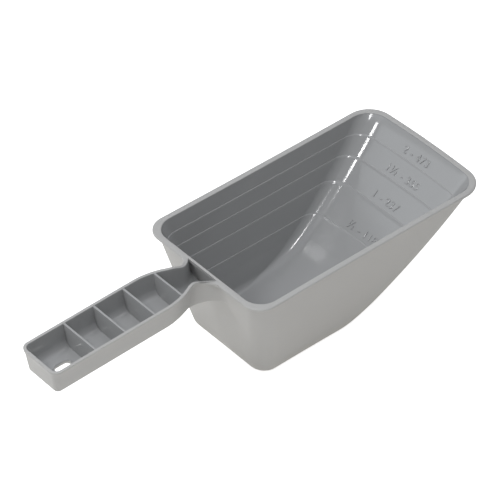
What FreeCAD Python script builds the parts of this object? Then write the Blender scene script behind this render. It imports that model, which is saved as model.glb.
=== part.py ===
"""Feed scoop: a one-piece moulded measuring bucket with a hollow ribbed handle.

The moulding is written out feature by feature. Every feature is its own closed
solid and meets its neighbours face to face, with no overlap and no gap.
Lengths are millimetres, +X runs from the handle to the pouring edge, +Z is up.
"""
import FreeCAD, Part
import math
import os

App = FreeCAD
V = App.Vector

# ---- overall sizes -------------------------------------------------------
RIM_LENGTH = 167.0          # mouth of the bucket, inside, along X
RIM_WIDTH = 92.2            # mouth of the bucket, inside, across Y
BUCKET_HEIGHT = 70.0        # underside of the floor to the rim
HANDLE_LENGTH = 117.9       # rim back edge to the outside of the handle's end
HANDLE_WIDTH = 30.7         # outside, at the top edge

# ---- bucket --------------------------------------------------------------
WALL = 1.8                  # skin thickness, square to the surface
BACK_SETBACK = 15.6         # how far the back wall leans in from rim to floor
SIDE_SETBACK = 15.0         # the same for each side wall
SLOPE_RIM_ANGLE = 44.5      # degrees from upright where the front slope meets the rim
SLOPE_R = 452.0             # the slope's own gentle curve, inside
FLOOR_EDGE_R = 5.2          # inside radius where floor meets back and sides
SLOPE_FOOT_R = 89.0         # inside radius where floor meets the front slope
SIDE_BOW = 0.5              # long sides bow in by this much at the rim
FRONT_BOW = 1.8             # pouring edge bows out by this much at the rim
FLOOR_BOW = 0.2             # what is left of both bows at the floor

# ---- bucket corners, seen from above --------------------------------------
IN_BACK_RIM_R = 12.0        # inside, back corners: at the rim and at the floor
IN_BACK_FLOOR_R = 10.5
IN_FRONT_RIM_R = 13.3       # inside, front corners
IN_FRONT_FLOOR_R = 8.0
OUT_BACK_RIM_R = 11.6       # outside, back corners
OUT_BACK_FLOOR_R = 10.2
OUT_FRONT_RIM_R = 13.6      # outside, front corners: much crisper towards the floor
OUT_FRONT_FLOOR_R = 2.0
OUT_FRONT_EASE = 1.8        # power of the height; above 1 the rounding comes late
CORNER_SHRINK = 3.0         # the floor's rounding takes a corner down to 1 / this

# ---- rim flange ----------------------------------------------------------
LIP_WIDTH = 3.75            # from the mouth's edge to the flange's edge
LIP_THICK = 1.9
LIP_ROUND = 0.7             # rounding of the flange's outer edges
LIP_BACK_R = 12.2           # the flange's own corners, seen from above
LIP_FRONT_R = 15.9

# ---- graduations ---------------------------------------------------------
LEDGE_DROPS = [43.9, 30.0, 19.0, 9.5]   # ledges, measured down from the rim
CUP_FIGURES = ["$-118", "1-237", "1$-355", "2-473"]   # $ stands for one half
LEDGE_STEP = 0.45           # how far a ledge stands in from the wall above it
LEDGE_FOOT = 0.08           # what is left of that at the foot of its band
FIGURE_HEIGHT = 4.8
FIGURE_GAP = 2.5            # from the ledge up to the foot of its figures
FIGURE_RAISE = 0.35
FIGURE_STROKE = 0.7
FIGURE_WIDTH = 2.6          # one figure, between the middles of its strokes
FIGURE_PITCH = 4.3          # from one figure to the next
DASH_PITCH = 3.8
HALF_PITCH = 5.6            # the one-half figure
HALF_SMALL = 2.2            # height of the small 1 and 2 in it

# ---- handle --------------------------------------------------------------
HANDLE_WALL = 1.6
HANDLE_DEPTH = 16.5
HANDLE_DRAFT = 2.0          # each side narrows by this much down the full depth
HANDLE_RISE = 4.4           # the top line, carried on to the rim, passes this far above
HANDLE_FALL = 1.57          # degrees the handle drops towards its end
HANDLE_EDGE_R = 4.5         # inside radius between tray floor and tray walls
END_CORNER_R = 5.0
RIB_COUNT = 4
RIB_PITCH = 20.75
RIB_FIRST = 26.5            # first rib's middle, back from the rim
RIB_THICK = 1.4
RIB_DROP = 0.2              # rib tops sit this far below the tray's edge
BEAD_OUT = 0.4
BEAD_HEIGHT = 2.0
SLOT_LENGTH = 10.4
SLOT_WIDTH = 5.2
SLOT_FROM_END = 16.4        # handle's end to the slot's middle
SLOT_RIM_WIDTH = 1.2
SLOT_RIM_HEIGHT = 0.8

# ---- neck ----------------------------------------------------------------
WAIST_WIDTH = 18.4          # narrowest outside width of the neck
WAIST_BACK = 13.5           # waist, back from the rim
FLARE_R = 13.2              # hollow curve from the waist out to the back wall
SHOULDER_R = 45.0           # full curve from the waist out to the tray
TOP_DROP_START = 19.0       # the top edge drops to the rim between these two
TOP_DROP_END = 5.0
UNDER_DROP_START = 28.0     # the underside drops between these two
UNDER_DROP_END = 8.0
NECK_EXTRA_DEPTH = 4.0      # more than the underside's drop at the bucket
FLARE_END_TURN = -12.0      # degrees; the flare's arc stops inside the back wall
NECK_ROOT = 14.0            # the drawn neck runs on to here before it is trimmed

# ---- drawing aids ---------------------------------------------------------
OVERSHOOT = 3.0             # how far a cutting block runs past what it cuts
FIGURE_SINK = 1.0           # how far figures are drawn down into the wall
EDGE_STEPS = 9              # sections in the floor's rounding
WALL_STEPS = 5              # sections up the walls
LIP_STEPS = 3               # sections in a lip rounding
TRAY_STEPS = 6              # sections in the tray floor's rounding
BIG = 4 * (RIM_LENGTH + HANDLE_LENGTH)


# ---- small helpers -------------------------------------------------------
def half_space(point, normal):
    """A big block on the side of a plane that its normal points to."""
    block = Part.makeBox(BIG, BIG, BIG, V(-BIG / 2, -BIG / 2, 0))
    block.Placement = App.Placement(point, App.Rotation(V(0, 0, 1), normal))
    return block


def slab(low, high):
    """Everything between two heights."""
    return Part.makeBox(BIG, BIG, high - low, V(-BIG / 2, -BIG / 2, low))


def arc(first, middle, last):
    return Part.Arc(first, middle, last).toShape()


def mirrored(points):
    return [V(p.x, -p.y, p.z) for p in reversed(points)]


def loft(sections, ruled=False):
    return Part.makeLoft(sections, True, ruled)


# ---- bucket: plan sections -----------------------------------------------
def corner(side_centre, side_r, end_centre, end_r, radius, guess):
    """Corner circle's centre: touches both long arcs, nearest to a guess."""
    d1, d2 = side_r + radius, end_r - radius
    gap = end_centre - side_centre
    along = (d1 * d1 - d2 * d2 + gap.Length ** 2) / (2 * gap.Length)
    across = math.sqrt(d1 * d1 - along * along)
    unit = gap / gap.Length
    square = V(-unit.y, unit.x, 0)
    options = [side_centre + unit * along + square * (across * s) for s in (1, -1)]
    return min(options, key=lambda c: (c - guess).Length)


def plan_section(z, back, front, half, r_back, r_front, side_bow, front_bow):
    """Closed outline at height z: straight back, bowed sides, bowed front."""
    middle = (back + front) / 2
    reach = (front - back) / 2
    side_r = (reach ** 2 + side_bow ** 2) / (2 * side_bow)
    end_r = (half ** 2 + front_bow ** 2) / (2 * front_bow)
    side_c = V(middle, half - side_bow + side_r, 0)
    end_c = V(front - end_r, 0, 0)
    fc = corner(side_c, side_r, end_c, end_r, r_front, V(front - r_front, half - r_front, 0))
    bx = back + r_back
    bc = V(bx, side_c.y - math.sqrt((side_r + r_back) ** 2 - (bx - middle) ** 2), 0)

    def toward(start, goal, distance):
        line = goal - start
        return start + line * (distance / line.Length)

    def corner_points(centre, radius, first, last):
        out = (first - centre) + (last - centre)
        return [first, centre + out * (radius / out.Length), last]

    back_side = corner_points(bc, r_back, V(back, bc.y, 0), toward(side_c, bc, side_r))
    front_side = corner_points(fc, r_front, toward(side_c, fc, side_r), toward(end_c, fc, end_r))
    lift = V(0, 0, z)
    side_mid = V(middle, half - side_bow, 0)
    left = [back_side, [back_side[2], side_mid, front_side[0]], front_side]
    right = [mirrored(three) for three in reversed(left)]
    arcs = left + [[front_side[2], V(front, 0, 0), mirrored(front_side)[0]]] + right
    edges = [arc(*[p + lift for p in three]) for three in arcs]
    edges.append(Part.makeLine(right[-1][2] + lift, left[0][0] + lift))
    return Part.Wire(edges)


def rounded_edge(z, lean, radius):
    """Horizontal pull-in at height z above a floor met by a leaning wall."""
    if z >= radius * (1 - math.sin(lean)):
        return 0.0
    centre = math.tan(lean) * radius - radius / math.cos(lean)
    return math.tan(lean) * z - centre - math.sqrt(radius ** 2 - (radius - z) ** 2)


def slope_centre():
    """Centre of the slope's long curve, which ends on the rim at its angle."""
    turn = math.radians(SLOPE_RIM_ANGLE)
    return V(RIM_LENGTH - SLOPE_R * math.sin(turn), 0, BUCKET_HEIGHT + SLOPE_R * math.cos(turn))


def foot_centre():
    """Centre of the curve that joins the slope to the floor."""
    big = slope_centre()
    z = WALL + SLOPE_FOOT_R
    return V(big.x + math.sqrt((SLOPE_R - SLOPE_FOOT_R) ** 2 - (big.z - z) ** 2), 0, z)


def slope_foot(skin):
    """Height at which the slope's long curve takes over from the foot's curve."""
    foot = foot_centre()
    out = (foot - slope_centre()).normalize()
    return foot.z + out.z * (SLOPE_FOOT_R + skin)


def slope_front(z, skin=0.0):
    """The front slope's face at height z, on the middle line."""
    centre, radius = slope_centre(), SLOPE_R + skin
    if z < slope_foot(skin):
        centre, radius = foot_centre(), SLOPE_FOOT_R + skin
    return centre.x + math.sqrt(max(radius ** 2 - (centre.z - z) ** 2, 0.0))


def slope_rate(z):
    """Forward run of the slope per unit of height."""
    centre = slope_centre()
    rise = centre.z - max(z, slope_foot(0.0))
    return rise / math.sqrt(SLOPE_R ** 2 - rise ** 2)


def corner_radius(share, skin, inset, pull, front):
    """Corner radius at a share of the height, inside (skin 0) or outside."""
    if front:
        floor, rim = (OUT_FRONT_FLOOR_R, OUT_FRONT_RIM_R) if skin else (IN_FRONT_FLOOR_R, IN_FRONT_RIM_R)
        share = share ** OUT_FRONT_EASE if skin else share
    else:
        floor, rim = (OUT_BACK_FLOOR_R, OUT_BACK_RIM_R) if skin else (IN_BACK_FLOOR_R, IN_BACK_RIM_R)
    radius = floor + (rim - floor) * share - inset
    return max(radius - pull, radius / CORNER_SHRINK)


def bucket_section(z, skin, inset=0.0):
    """Bucket outline at height z: skin 0 for the inside, WALL for the outside."""
    base = WALL - skin
    share = max(z, 0.0) / BUCKET_HEIGHT
    side_lean = math.atan(SIDE_SETBACK / BUCKET_HEIGHT)
    back_lean = math.atan(BACK_SETBACK / BUCKET_HEIGHT)
    pull = rounded_edge(z - base, side_lean, FLOOR_EDGE_R + skin)
    pull_back = rounded_edge(z - base, back_lean, FLOOR_EDGE_R + skin)
    half = RIM_WIDTH / 2 - SIDE_SETBACK * (1 - share) + skin / math.cos(side_lean) - pull - inset
    back = BACK_SETBACK * (1 - share) - skin / math.cos(back_lean) + pull_back + inset
    front = slope_front(z, skin) - inset * math.sqrt(1 + slope_rate(z) ** 2)
    r_back, r_front = [corner_radius(share, skin, inset, pull, end) for end in (False, True)]
    side_bow, front_bow = [FLOOR_BOW + (bow - FLOOR_BOW) * share for bow in (SIDE_BOW, FRONT_BOW)]
    return plan_section(z, back, front, half, r_back, r_front, side_bow, front_bow)


def bucket_body(skin):
    """Solid inside (skin 0) or outside (skin WALL) of the bucket up to the rim."""
    base = WALL - skin
    foot_z = slope_foot(skin)
    low = [base + (foot_z - base) * (i / EDGE_STEPS) ** 2 for i in range(EDGE_STEPS + 1)]
    high = [foot_z + (BUCKET_HEIGHT - foot_z) * i / WALL_STEPS for i in range(WALL_STEPS + 1)]
    lower = loft([bucket_section(z, skin) for z in low])
    upper = loft([bucket_section(z, skin) for z in high])
    return lower.fuse(upper)


def corner_plane(sign_x, side):
    """Plane that parts two neighbouring bucket walls along their corner."""
    low = slope_foot(WALL)
    half_low = RIM_WIDTH / 2 - SIDE_SETBACK * (1 - low / BUCKET_HEIGHT)
    back_low = BACK_SETBACK * (1 - low / BUCKET_HEIGHT)
    foot = V(back_low if sign_x < 0 else slope_front(low), half_low, low)
    top = V(0 if sign_x < 0 else RIM_LENGTH, RIM_WIDTH / 2, BUCKET_HEIGHT)
    normal = (top - foot).cross(V(-sign_x, -1, 0))
    if normal.y < 0:
        normal = normal * -1
    return V(foot.x, foot.y * side, foot.z), V(normal.x, normal.y * side, normal.z)


def cut_by(shape, planes):
    for point, normal in planes:
        shape = shape.common(half_space(point, normal))
    return shape


def bucket_walls(shell):
    """Floor, two side walls, back wall and front slope, parted at their corners."""
    split = slope_foot(WALL)
    upper = shell.common(slab(split, BUCKET_HEIGHT + 1))
    parts = {"bucket_floor": shell.common(slab(-1, split))}
    for name, side in (("bucket_left_wall", 1), ("bucket_right_wall", -1)):
        planes = [corner_plane(-1, side), corner_plane(1, side), (V(0, 0, 0), V(0, side, 0))]
        parts[name] = cut_by(upper, planes)
    for name, end in (("bucket_back_wall", -1), ("bucket_front_slope", 1)):
        planes = [(p, n * -1) for p, n in (corner_plane(end, 1), corner_plane(end, -1))]
        parts[name] = cut_by(upper, planes)
    return parts


# ---- bucket: rim flange and graduations -----------------------------------
def rim_outline(z, inset):
    out = LIP_WIDTH - inset
    half = RIM_WIDTH / 2 + out
    r_back, r_front = LIP_BACK_R - inset, LIP_FRONT_R - inset
    return plan_section(z, -out, RIM_LENGTH + out, half, r_back, r_front, SIDE_BOW, FRONT_BOW)


def rim_flange(outer, handle_space):
    top = BUCKET_HEIGHT
    turn = [math.pi / 2 * i / LIP_STEPS for i in range(LIP_STEPS + 1)]
    rise = [(LIP_ROUND * (1 - math.sin(a)), LIP_ROUND * (1 - math.cos(a))) for a in turn]
    low = [rim_outline(top - LIP_THICK + up, pull) for pull, up in rise]
    high = [rim_outline(top - up, pull) for pull, up in reversed(rise)]
    body = loft(low).fuse([loft([low[-1], high[0]], True), loft(high)])
    return body.cut(outer).cut(handle_space).removeSplitter()


def ledge_heights():
    return [BUCKET_HEIGHT - drop for drop in LEDGE_DROPS]


def graduation_ledges(cavity):
    """Tapered bands on the inside walls, each ending upward in a small ledge."""
    ledges = []
    below = slope_foot(0.0)
    for z in ledge_heights():
        hollow = loft([bucket_section(below, 0.0, LEDGE_FOOT), bucket_section(z, 0.0, LEDGE_STEP)], True)
        ledges.append(cavity.common(slab(below, z)).cut(hollow))
        below = z
    return ledges


STROKES = {   # which of the seven strokes each figure uses; see figure_strokes
    "0": "abcdef", "1": "bc", "2": "abged", "3": "abgcd", "4": "fgbc", "5": "afgcd",
    "6": "afgedc", "7": "abc", "8": "abcdefg", "9": "abcdfg", "-": "g",
}


def figure_strokes(mark, left, foot, height):
    """End points of one figure's strokes: a top, b c right, d foot, e f left, g middle."""
    width = FIGURE_WIDTH * height / FIGURE_HEIGHT
    if mark == "$":
        upper = figure_strokes("1", left - width / 2, foot + height - HALF_SMALL, HALF_SMALL)
        lower = figure_strokes("2", left + width, foot, HALF_SMALL)
        slash = [((left + width / 3, foot), (left + width, foot + height))]
        return upper + slash + lower
    right, middle, top = left + width, foot + height / 2, foot + height
    ends = {"a": ((left, top), (right, top)), "b": ((right, top), (right, middle)),
            "c": ((right, middle), (right, foot)), "d": ((left, foot), (right, foot)),
            "e": ((left, foot), (left, middle)), "f": ((left, middle), (left, top)),
            "g": ((left, middle), (right, middle))}
    return [ends[key] for key in STROKES[mark]]


def stroke(start, end, depth):
    """A round-ended bar drawn in the XY plane."""
    a, b = V(start[0], start[1], 0), V(end[0], end[1], 0)
    line = b - a
    half = FIGURE_STROKE / 2
    bar = Part.makeBox(line.Length, FIGURE_STROKE, depth, V(0, -half, 0))
    bar.Placement = App.Placement(a, App.Rotation(V(1, 0, 0), line))
    ends = [Part.makeCylinder(half, depth, p) for p in (a, b)]
    return bar.fuse(ends)


def raised_figures(number, hollow):
    """One row of figures standing out of the front slope above its ledge."""
    heights = ledge_heights() + [BUCKET_HEIGHT]
    low, high = heights[number], heights[number + 1]
    inset = 0.0 if number == len(LEDGE_DROPS) - 1 else LEDGE_STEP
    foot = V(slope_front(low), 0, low)
    top = V(slope_front(high) - inset * math.sqrt(1 + slope_rate(high) ** 2), 0, high)
    up = (top - foot).normalize()
    across = V(0, -1, 0)
    out = across.cross(up)
    frame = App.Rotation(across, up, out, "ZXY")
    text = CUP_FIGURES[number]
    widths = [{"$": HALF_PITCH, "-": DASH_PITCH}.get(mark, FIGURE_PITCH) for mark in text]
    pen = -sum(widths) / 2
    bars = []
    for mark, width in zip(text, widths):
        for start, end in figure_strokes(mark, pen, FIGURE_GAP, FIGURE_HEIGHT):
            bars.append(stroke(start, end, FIGURE_SINK + FIGURE_RAISE))
        pen += width
    solid = bars[0].fuse(bars[1:])
    solid.Placement = App.Placement(foot - out * FIGURE_SINK, frame)
    return solid.common(hollow).removeSplitter()


# ---- handle --------------------------------------------------------------
def handle_place():
    """The handle is drawn level, then tipped about the rim's back edge."""
    return App.Placement(V(0, 0, BUCKET_HEIGHT + HANDLE_RISE), App.Rotation(V(0, 1, 0), -HANDLE_FALL))


def handle_outline(depth, inset):
    """Handle's plan outline: tray, shoulders, waist and flares."""
    half = HANDLE_WIDTH / 2 - inset
    end = -HANDLE_LENGTH + inset
    flare_r, shoulder_r = FLARE_R + inset, SHOULDER_R - inset
    flare_c = V(-WAIST_BACK, WAIST_WIDTH / 2 + FLARE_R, 0)
    reach = SHOULDER_R + FLARE_R
    shoulder_y = HANDLE_WIDTH / 2 - SHOULDER_R
    run = math.sqrt(reach ** 2 - (flare_c.y - shoulder_y) ** 2)
    shoulder_c = V(flare_c.x - run, shoulder_y, 0)
    line = (shoulder_c - flare_c) / reach
    meet = flare_c + line * flare_r

    def on(centre, radius, degrees):
        a = math.radians(degrees)
        return centre + V(radius * math.cos(a), radius * math.sin(a), 0)

    meet_turn = math.degrees(math.atan2(-line.y, -line.x))
    meet_turn_flare = math.degrees(math.atan2(line.y, line.x))
    flare_end = FLARE_END_TURN
    corner_r = max(END_CORNER_R - inset, END_CORNER_R / CORNER_SHRINK)
    corner_c = V(end + corner_r, half - corner_r, 0)
    tail = V(NECK_ROOT, on(flare_c, flare_r, flare_end).y, 0)
    low = V(0, 0, depth)
    half_arcs = [
        [on(flare_c, flare_r, flare_end), on(flare_c, flare_r, (flare_end + meet_turn_flare) / 2), meet],
        [meet, on(shoulder_c, shoulder_r, (meet_turn + 90) / 2), on(shoulder_c, shoulder_r, 90)],
        [on(shoulder_c, shoulder_r, 90), V(end + corner_r, half, 0)],
        [V(end + corner_r, half, 0), on(corner_c, corner_r, 135), V(end, half - corner_r, 0)],
    ]
    other = [mirrored(run_) for run_ in reversed(half_arcs)]
    runs = [[tail, half_arcs[0][0]]] + half_arcs + [[half_arcs[-1][2], other[0][0]]] + other
    runs += [[other[-1][-1], mirrored([tail])[0]], [mirrored([tail])[0], tail]]
    edges = []
    for points in runs:
        lifted = [p + low for p in points]
        edges.append(arc(*lifted) if len(points) == 3 else Part.makeLine(*lifted))
    return Part.Wire(edges)


def draft_inset(depth):
    return -HANDLE_DRAFT * depth / HANDLE_DEPTH


def handle_prism(low, high, inset):
    """Drafted block of the handle's plan between two depths, already tipped."""
    solid = loft([handle_outline(d, inset + draft_inset(d)) for d in (low, high)], True)
    solid.Placement = handle_place()
    return solid


def side_line(x, depth):
    """Height of the handle's straight top line, moved down by depth, at x."""
    turn = math.radians(HANDLE_FALL)
    return BUCKET_HEIGHT + HANDLE_RISE + x * math.tan(turn) + depth / math.cos(turn)


def side_edges(depth, drop_to, start, stop):
    """Side profile: straight along the tray, then a soft drop at the neck."""
    far, half = -2 * HANDLE_LENGTH, (start - stop) / 2
    first = V(far, 0, side_line(far, depth))
    bend, middle = [V(x, 0, side_line(x, depth)) for x in (-start, half - start)]
    poles = [bend, middle, V(half - start, 0, drop_to), V(-stop, 0, drop_to)]
    curve = Part.BezierCurve()
    curve.setPoles(poles)
    last = V(BACK_SETBACK * 2, 0, drop_to)
    return [Part.makeLine(first, bend), curve.toShape(), Part.makeLine(poles[-1], last)], first, last


def above(depth, drop_to, start, stop):
    """Everything above one side profile, across the whole handle."""
    edges, first, last = side_edges(depth, drop_to, start, stop)
    roof = BUCKET_HEIGHT * 2
    a, b = V(last.x, 0, roof), V(first.x, 0, roof)
    edges += [Part.makeLine(last, a), Part.makeLine(a, b), Part.makeLine(b, first)]
    face = Part.Face(Part.Wire(edges))
    face.translate(V(0, -RIM_WIDTH, 0))
    return face.extrude(V(0, 2 * RIM_WIDTH, 0))


def above_top(down):
    """Everything above the handle's top edge, moved down by a distance."""
    return above(-down, BUCKET_HEIGHT - down, TOP_DROP_START, TOP_DROP_END)


def above_under(up):
    """Everything above the handle's underside, moved up by a distance."""
    low = BUCKET_HEIGHT - HANDLE_DEPTH + up
    return above(up - HANDLE_DEPTH, low, UNDER_DROP_START, UNDER_DROP_END)


def tray_cavity():
    """Hollow of the tray, with rounded edges along its floor."""
    bottom = -HANDLE_DEPTH + HANDLE_WALL
    radius = min(HANDLE_EDGE_R, WAIST_WIDTH / 2 - HANDLE_WALL - HANDLE_DRAFT - 1.0)
    turn = [math.pi / 2 * i / TRAY_STEPS for i in range(TRAY_STEPS + 1)]
    low = [handle_outline(bottom + radius * (1 - math.cos(a)),
                          HANDLE_WALL + draft_inset(bottom) + radius * (1 - math.sin(a))) for a in turn]
    high = handle_outline(OVERSHOOT, HANDLE_WALL + draft_inset(OVERSHOOT))
    solid = loft(low).fuse(loft([low[-1], high], True))
    solid.Placement = handle_place()
    return solid


def rib_positions():
    return [-(RIB_FIRST + RIB_PITCH * i) for i in range(RIB_COUNT)]


def handle_slab(x_low, x_high):
    """A slice square to the handle's own length."""
    block = Part.makeBox(x_high - x_low, BIG, BIG, V(x_low, -BIG / 2, -BIG / 2))
    block.Placement = handle_place()
    return block


def oblong(length, width, low, high):
    """Round-ended bar lying along the handle, centred on the hang slot."""
    r = width / 2
    reach = length / 2 - r
    bar = Part.makeBox(2 * reach, width, high - low, V(-reach, -r, low))
    ends = [Part.makeCylinder(r, high - low, V(s * reach, 0, low)) for s in (1, -1)]
    solid = bar.fuse(ends).removeSplitter()
    solid.translate(V(-HANDLE_LENGTH + SLOT_FROM_END, 0, 0))
    solid.Placement = handle_place().multiply(solid.Placement)
    return solid


def handle_parts(outer):
    """Tray, ribs, neck, top bead and the hang slot's raised edge."""
    deep = -(HANDLE_DEPTH + HANDLE_RISE + NECK_EXTRA_DEPTH)
    top_cut = above_top(0.0)
    body = handle_prism(deep, OVERSHOOT, 0.0).common(above_under(0.0)).cut(top_cut).cut(outer)
    split_x = -RIB_FIRST
    tray_side, neck_side = handle_slab(-BIG, split_x), handle_slab(split_x, BIG)

    floor_line = above_under(HANDLE_WALL)
    neck_hollow = handle_prism(deep, OVERSHOOT, HANDLE_WALL).common(floor_line)
    neck = body.common(neck_side).cut(neck_hollow)
    cavity = tray_cavity()
    slot = oblong(SLOT_LENGTH, SLOT_WIDTH, -2 * HANDLE_DEPTH, 0.0)
    tray = body.common(tray_side).cut(cavity)

    split = -HANDLE_DEPTH + HANDLE_WALL + HANDLE_EDGE_R
    pan_zone = Part.makeBox(BIG, BIG, BIG, V(-BIG / 2, -BIG / 2, split - BIG))
    pan_zone.Placement = handle_place()
    walls = tray.cut(pan_zone)
    end_x = -HANDLE_LENGTH
    corner_at = handle_place().multVec(V(end_x, HANDLE_WIDTH / 2, 0))
    left_turn, right_turn = V(1, 1, 0), V(1, -1, 0)
    corner_right = V(corner_at.x, -corner_at.y, corner_at.z)
    parts = {
        "handle_floor": tray.common(pan_zone).cut(slot),
        "handle_left_wall": cut_by(walls, [(V(0, 0, 0), V(0, 1, 0)), (corner_at, left_turn)]),
        "handle_right_wall": cut_by(walls, [(V(0, 0, 0), V(0, -1, 0)), (corner_right, right_turn)]),
        "handle_end_wall": cut_by(walls, [(corner_at, left_turn * -1), (corner_right, right_turn * -1)]),
        "neck_floor": neck.cut(floor_line),
        "neck_left_wall": cut_by(neck.common(floor_line), [(V(0, 0, 0), V(0, 1, 0))]),
        "neck_right_wall": cut_by(neck.common(floor_line), [(V(0, 0, 0), V(0, -1, 0))]),
    }
    return parts, cavity, neck_hollow, top_cut


def handle_ribs(cavity, neck_hollow):
    """Full-height cross plates; the first one also closes the neck's hollow."""
    ribs = {}
    level = above_top(RIB_DROP)
    for number, x in enumerate(rib_positions(), 1):
        near = handle_slab(x - RIB_THICK / 2, x + RIB_THICK / 2)
        if number == 1:
            plate = cavity.common(handle_slab(x - RIB_THICK / 2, x))
            plate = plate.fuse(neck_hollow.common(handle_slab(x, x + RIB_THICK / 2)))
        else:
            plate = cavity.common(near)
        ribs["handle_rib_%d" % number] = plate.cut(level)
    return ribs


def handle_bead(outer, top_cut):
    """Thin band round the outside of the handle's top edge."""
    deep = -(HANDLE_DEPTH + HANDLE_RISE + NECK_EXTRA_DEPTH)
    ring = handle_prism(deep, OVERSHOOT, -BEAD_OUT).cut(handle_prism(deep, OVERSHOOT, 0.0))
    band = ring.common(above_top(BEAD_HEIGHT)).cut(top_cut).cut(outer)
    return band.common(handle_slab(-BIG, BACK_SETBACK / 2))


def slot_rim():
    base = -HANDLE_DEPTH + HANDLE_WALL
    wide = 2 * SLOT_RIM_WIDTH
    ring = oblong(SLOT_LENGTH + wide, SLOT_WIDTH + wide, base, base + SLOT_RIM_HEIGHT)
    top = base + SLOT_RIM_HEIGHT
    return ring.cut(oblong(SLOT_LENGTH, SLOT_WIDTH, base - OVERSHOOT, top + OVERSHOOT))


# ---- everything ----------------------------------------------------------
def build():
    outer = bucket_body(WALL)
    cavity = bucket_body(0.0)
    parts = bucket_walls(outer.cut(cavity))
    deep = -(HANDLE_DEPTH + HANDLE_RISE + NECK_EXTRA_DEPTH)
    parts["rim_flange"] = rim_flange(outer, handle_prism(deep, OVERSHOOT, -BEAD_OUT))

    hollow = cavity
    for number, ledge in enumerate(graduation_ledges(cavity), 1):
        parts["graduation_%d" % number] = ledge
        hollow = hollow.cut(ledge)
    for number in range(len(LEDGE_DROPS)):
        parts["figures_%d" % (number + 1)] = raised_figures(number, hollow)

    tray, tray_hollow, neck_hollow, top_cut = handle_parts(outer)
    parts.update(tray)
    parts.update(handle_ribs(tray_hollow, neck_hollow))
    parts["handle_bead"] = handle_bead(outer, top_cut)
    parts["hang_slot_rim"] = slot_rim()
    return parts


def main():
    os.makedirs("parts", exist_ok=True)
    parts = build()
    far = RIM_LENGTH + LIP_WIDTH
    near = -(HANDLE_LENGTH + BEAD_OUT) * math.cos(math.radians(HANDLE_FALL))
    shift = V(-(far + near) / 2, 0, 0)
    for name, shape in parts.items():
        shape.translate(shift)
        shape.exportStep("parts/%s.step" % name)
        box = shape.BoundBox
        print(name, shape.isValid(), len(shape.Solids), round(shape.Volume, 1),
              [round(v, 1) for v in (box.XMin, box.XMax, box.YMin, box.YMax, box.ZMin, box.ZMax)])


main()
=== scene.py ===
"""Feed scoop, dressed for its studio view.

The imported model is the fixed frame. Each part of the moulding is built here as a
clean skin on the same sizes, in the same place, and rides on the one rigid body.
Drawn lengths are millimetres; meshes are made in metres.
"""
import logging
import math
from dataclasses import dataclass, field
from enum import Enum
from typing import Callable, Iterable, Sequence

import bmesh
import bpy
from mathutils import Matrix, Vector


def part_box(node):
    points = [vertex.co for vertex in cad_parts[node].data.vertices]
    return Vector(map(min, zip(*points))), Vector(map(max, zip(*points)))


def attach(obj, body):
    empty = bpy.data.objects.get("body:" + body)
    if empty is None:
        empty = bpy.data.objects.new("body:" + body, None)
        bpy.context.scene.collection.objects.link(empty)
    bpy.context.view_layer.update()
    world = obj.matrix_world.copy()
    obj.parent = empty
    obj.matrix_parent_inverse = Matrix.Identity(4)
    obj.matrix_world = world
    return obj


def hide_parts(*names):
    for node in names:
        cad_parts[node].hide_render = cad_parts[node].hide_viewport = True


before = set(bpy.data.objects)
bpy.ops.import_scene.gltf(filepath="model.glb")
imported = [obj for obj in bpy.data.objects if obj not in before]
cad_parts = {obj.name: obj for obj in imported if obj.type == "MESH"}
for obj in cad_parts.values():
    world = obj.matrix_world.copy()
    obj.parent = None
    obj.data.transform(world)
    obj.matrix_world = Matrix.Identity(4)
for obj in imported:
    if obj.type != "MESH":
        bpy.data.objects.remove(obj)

LOG = logging.getLogger("feed_scoop")
ROOT = "root"
MM = 0.001
# Face sides pick the material slot: outer faces take the plain plastic colour, inner faces the darker, cooler
# copy that is painted shade.
OUTER_FACE, INNER_FACE = 0, 1

Point = tuple[float, float]
Point3 = tuple[float, float, float]
Ring = list[Point3]
Line = Callable[[float], float]


# ---------------------------------------------------------------- sizes
@dataclass(frozen=True)
class CornerRadii:
    """One upright corner's radius seen from above, at the floor and at the rim."""

    floor: float
    rim: float
    ease: float = 1.0

    def at(self, share: float) -> float:
        """The radius at a share of the bucket's height."""
        return lerp(self.floor, self.rim, share ** self.ease)


@dataclass(frozen=True)
class BucketSizes:
    """The bucket's sizes, as the model was drawn, in millimetres."""

    rim_length: float = 167.0
    rim_width: float = 92.2
    height: float = 70.0
    wall: float = 1.8
    back_setback: float = 15.6
    side_setback: float = 15.0
    slope_rim_angle: float = 44.5
    slope_r: float = 452.0
    slope_foot_r: float = 89.0
    floor_edge_r: float = 5.2
    in_back: CornerRadii = CornerRadii(10.5, 12.0)
    in_front: CornerRadii = CornerRadii(8.0, 13.3)
    out_back: CornerRadii = CornerRadii(10.2, 11.6)
    out_front: CornerRadii = CornerRadii(2.0, 13.6, 1.8)
    corner_shrink: float = 3.0
    side_bow: float = 0.5
    front_bow: float = 1.8
    floor_bow: float = 0.2
    lip_width: float = 3.75
    lip_thick: float = 1.9
    lip_back_r: float = 12.2
    lip_front_r: float = 15.9
    ledge_drops: tuple[float, ...] = (43.9, 30.0, 19.0, 9.5)
    ledge_step: float = 0.45
    ledge_foot: float = 0.08


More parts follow.
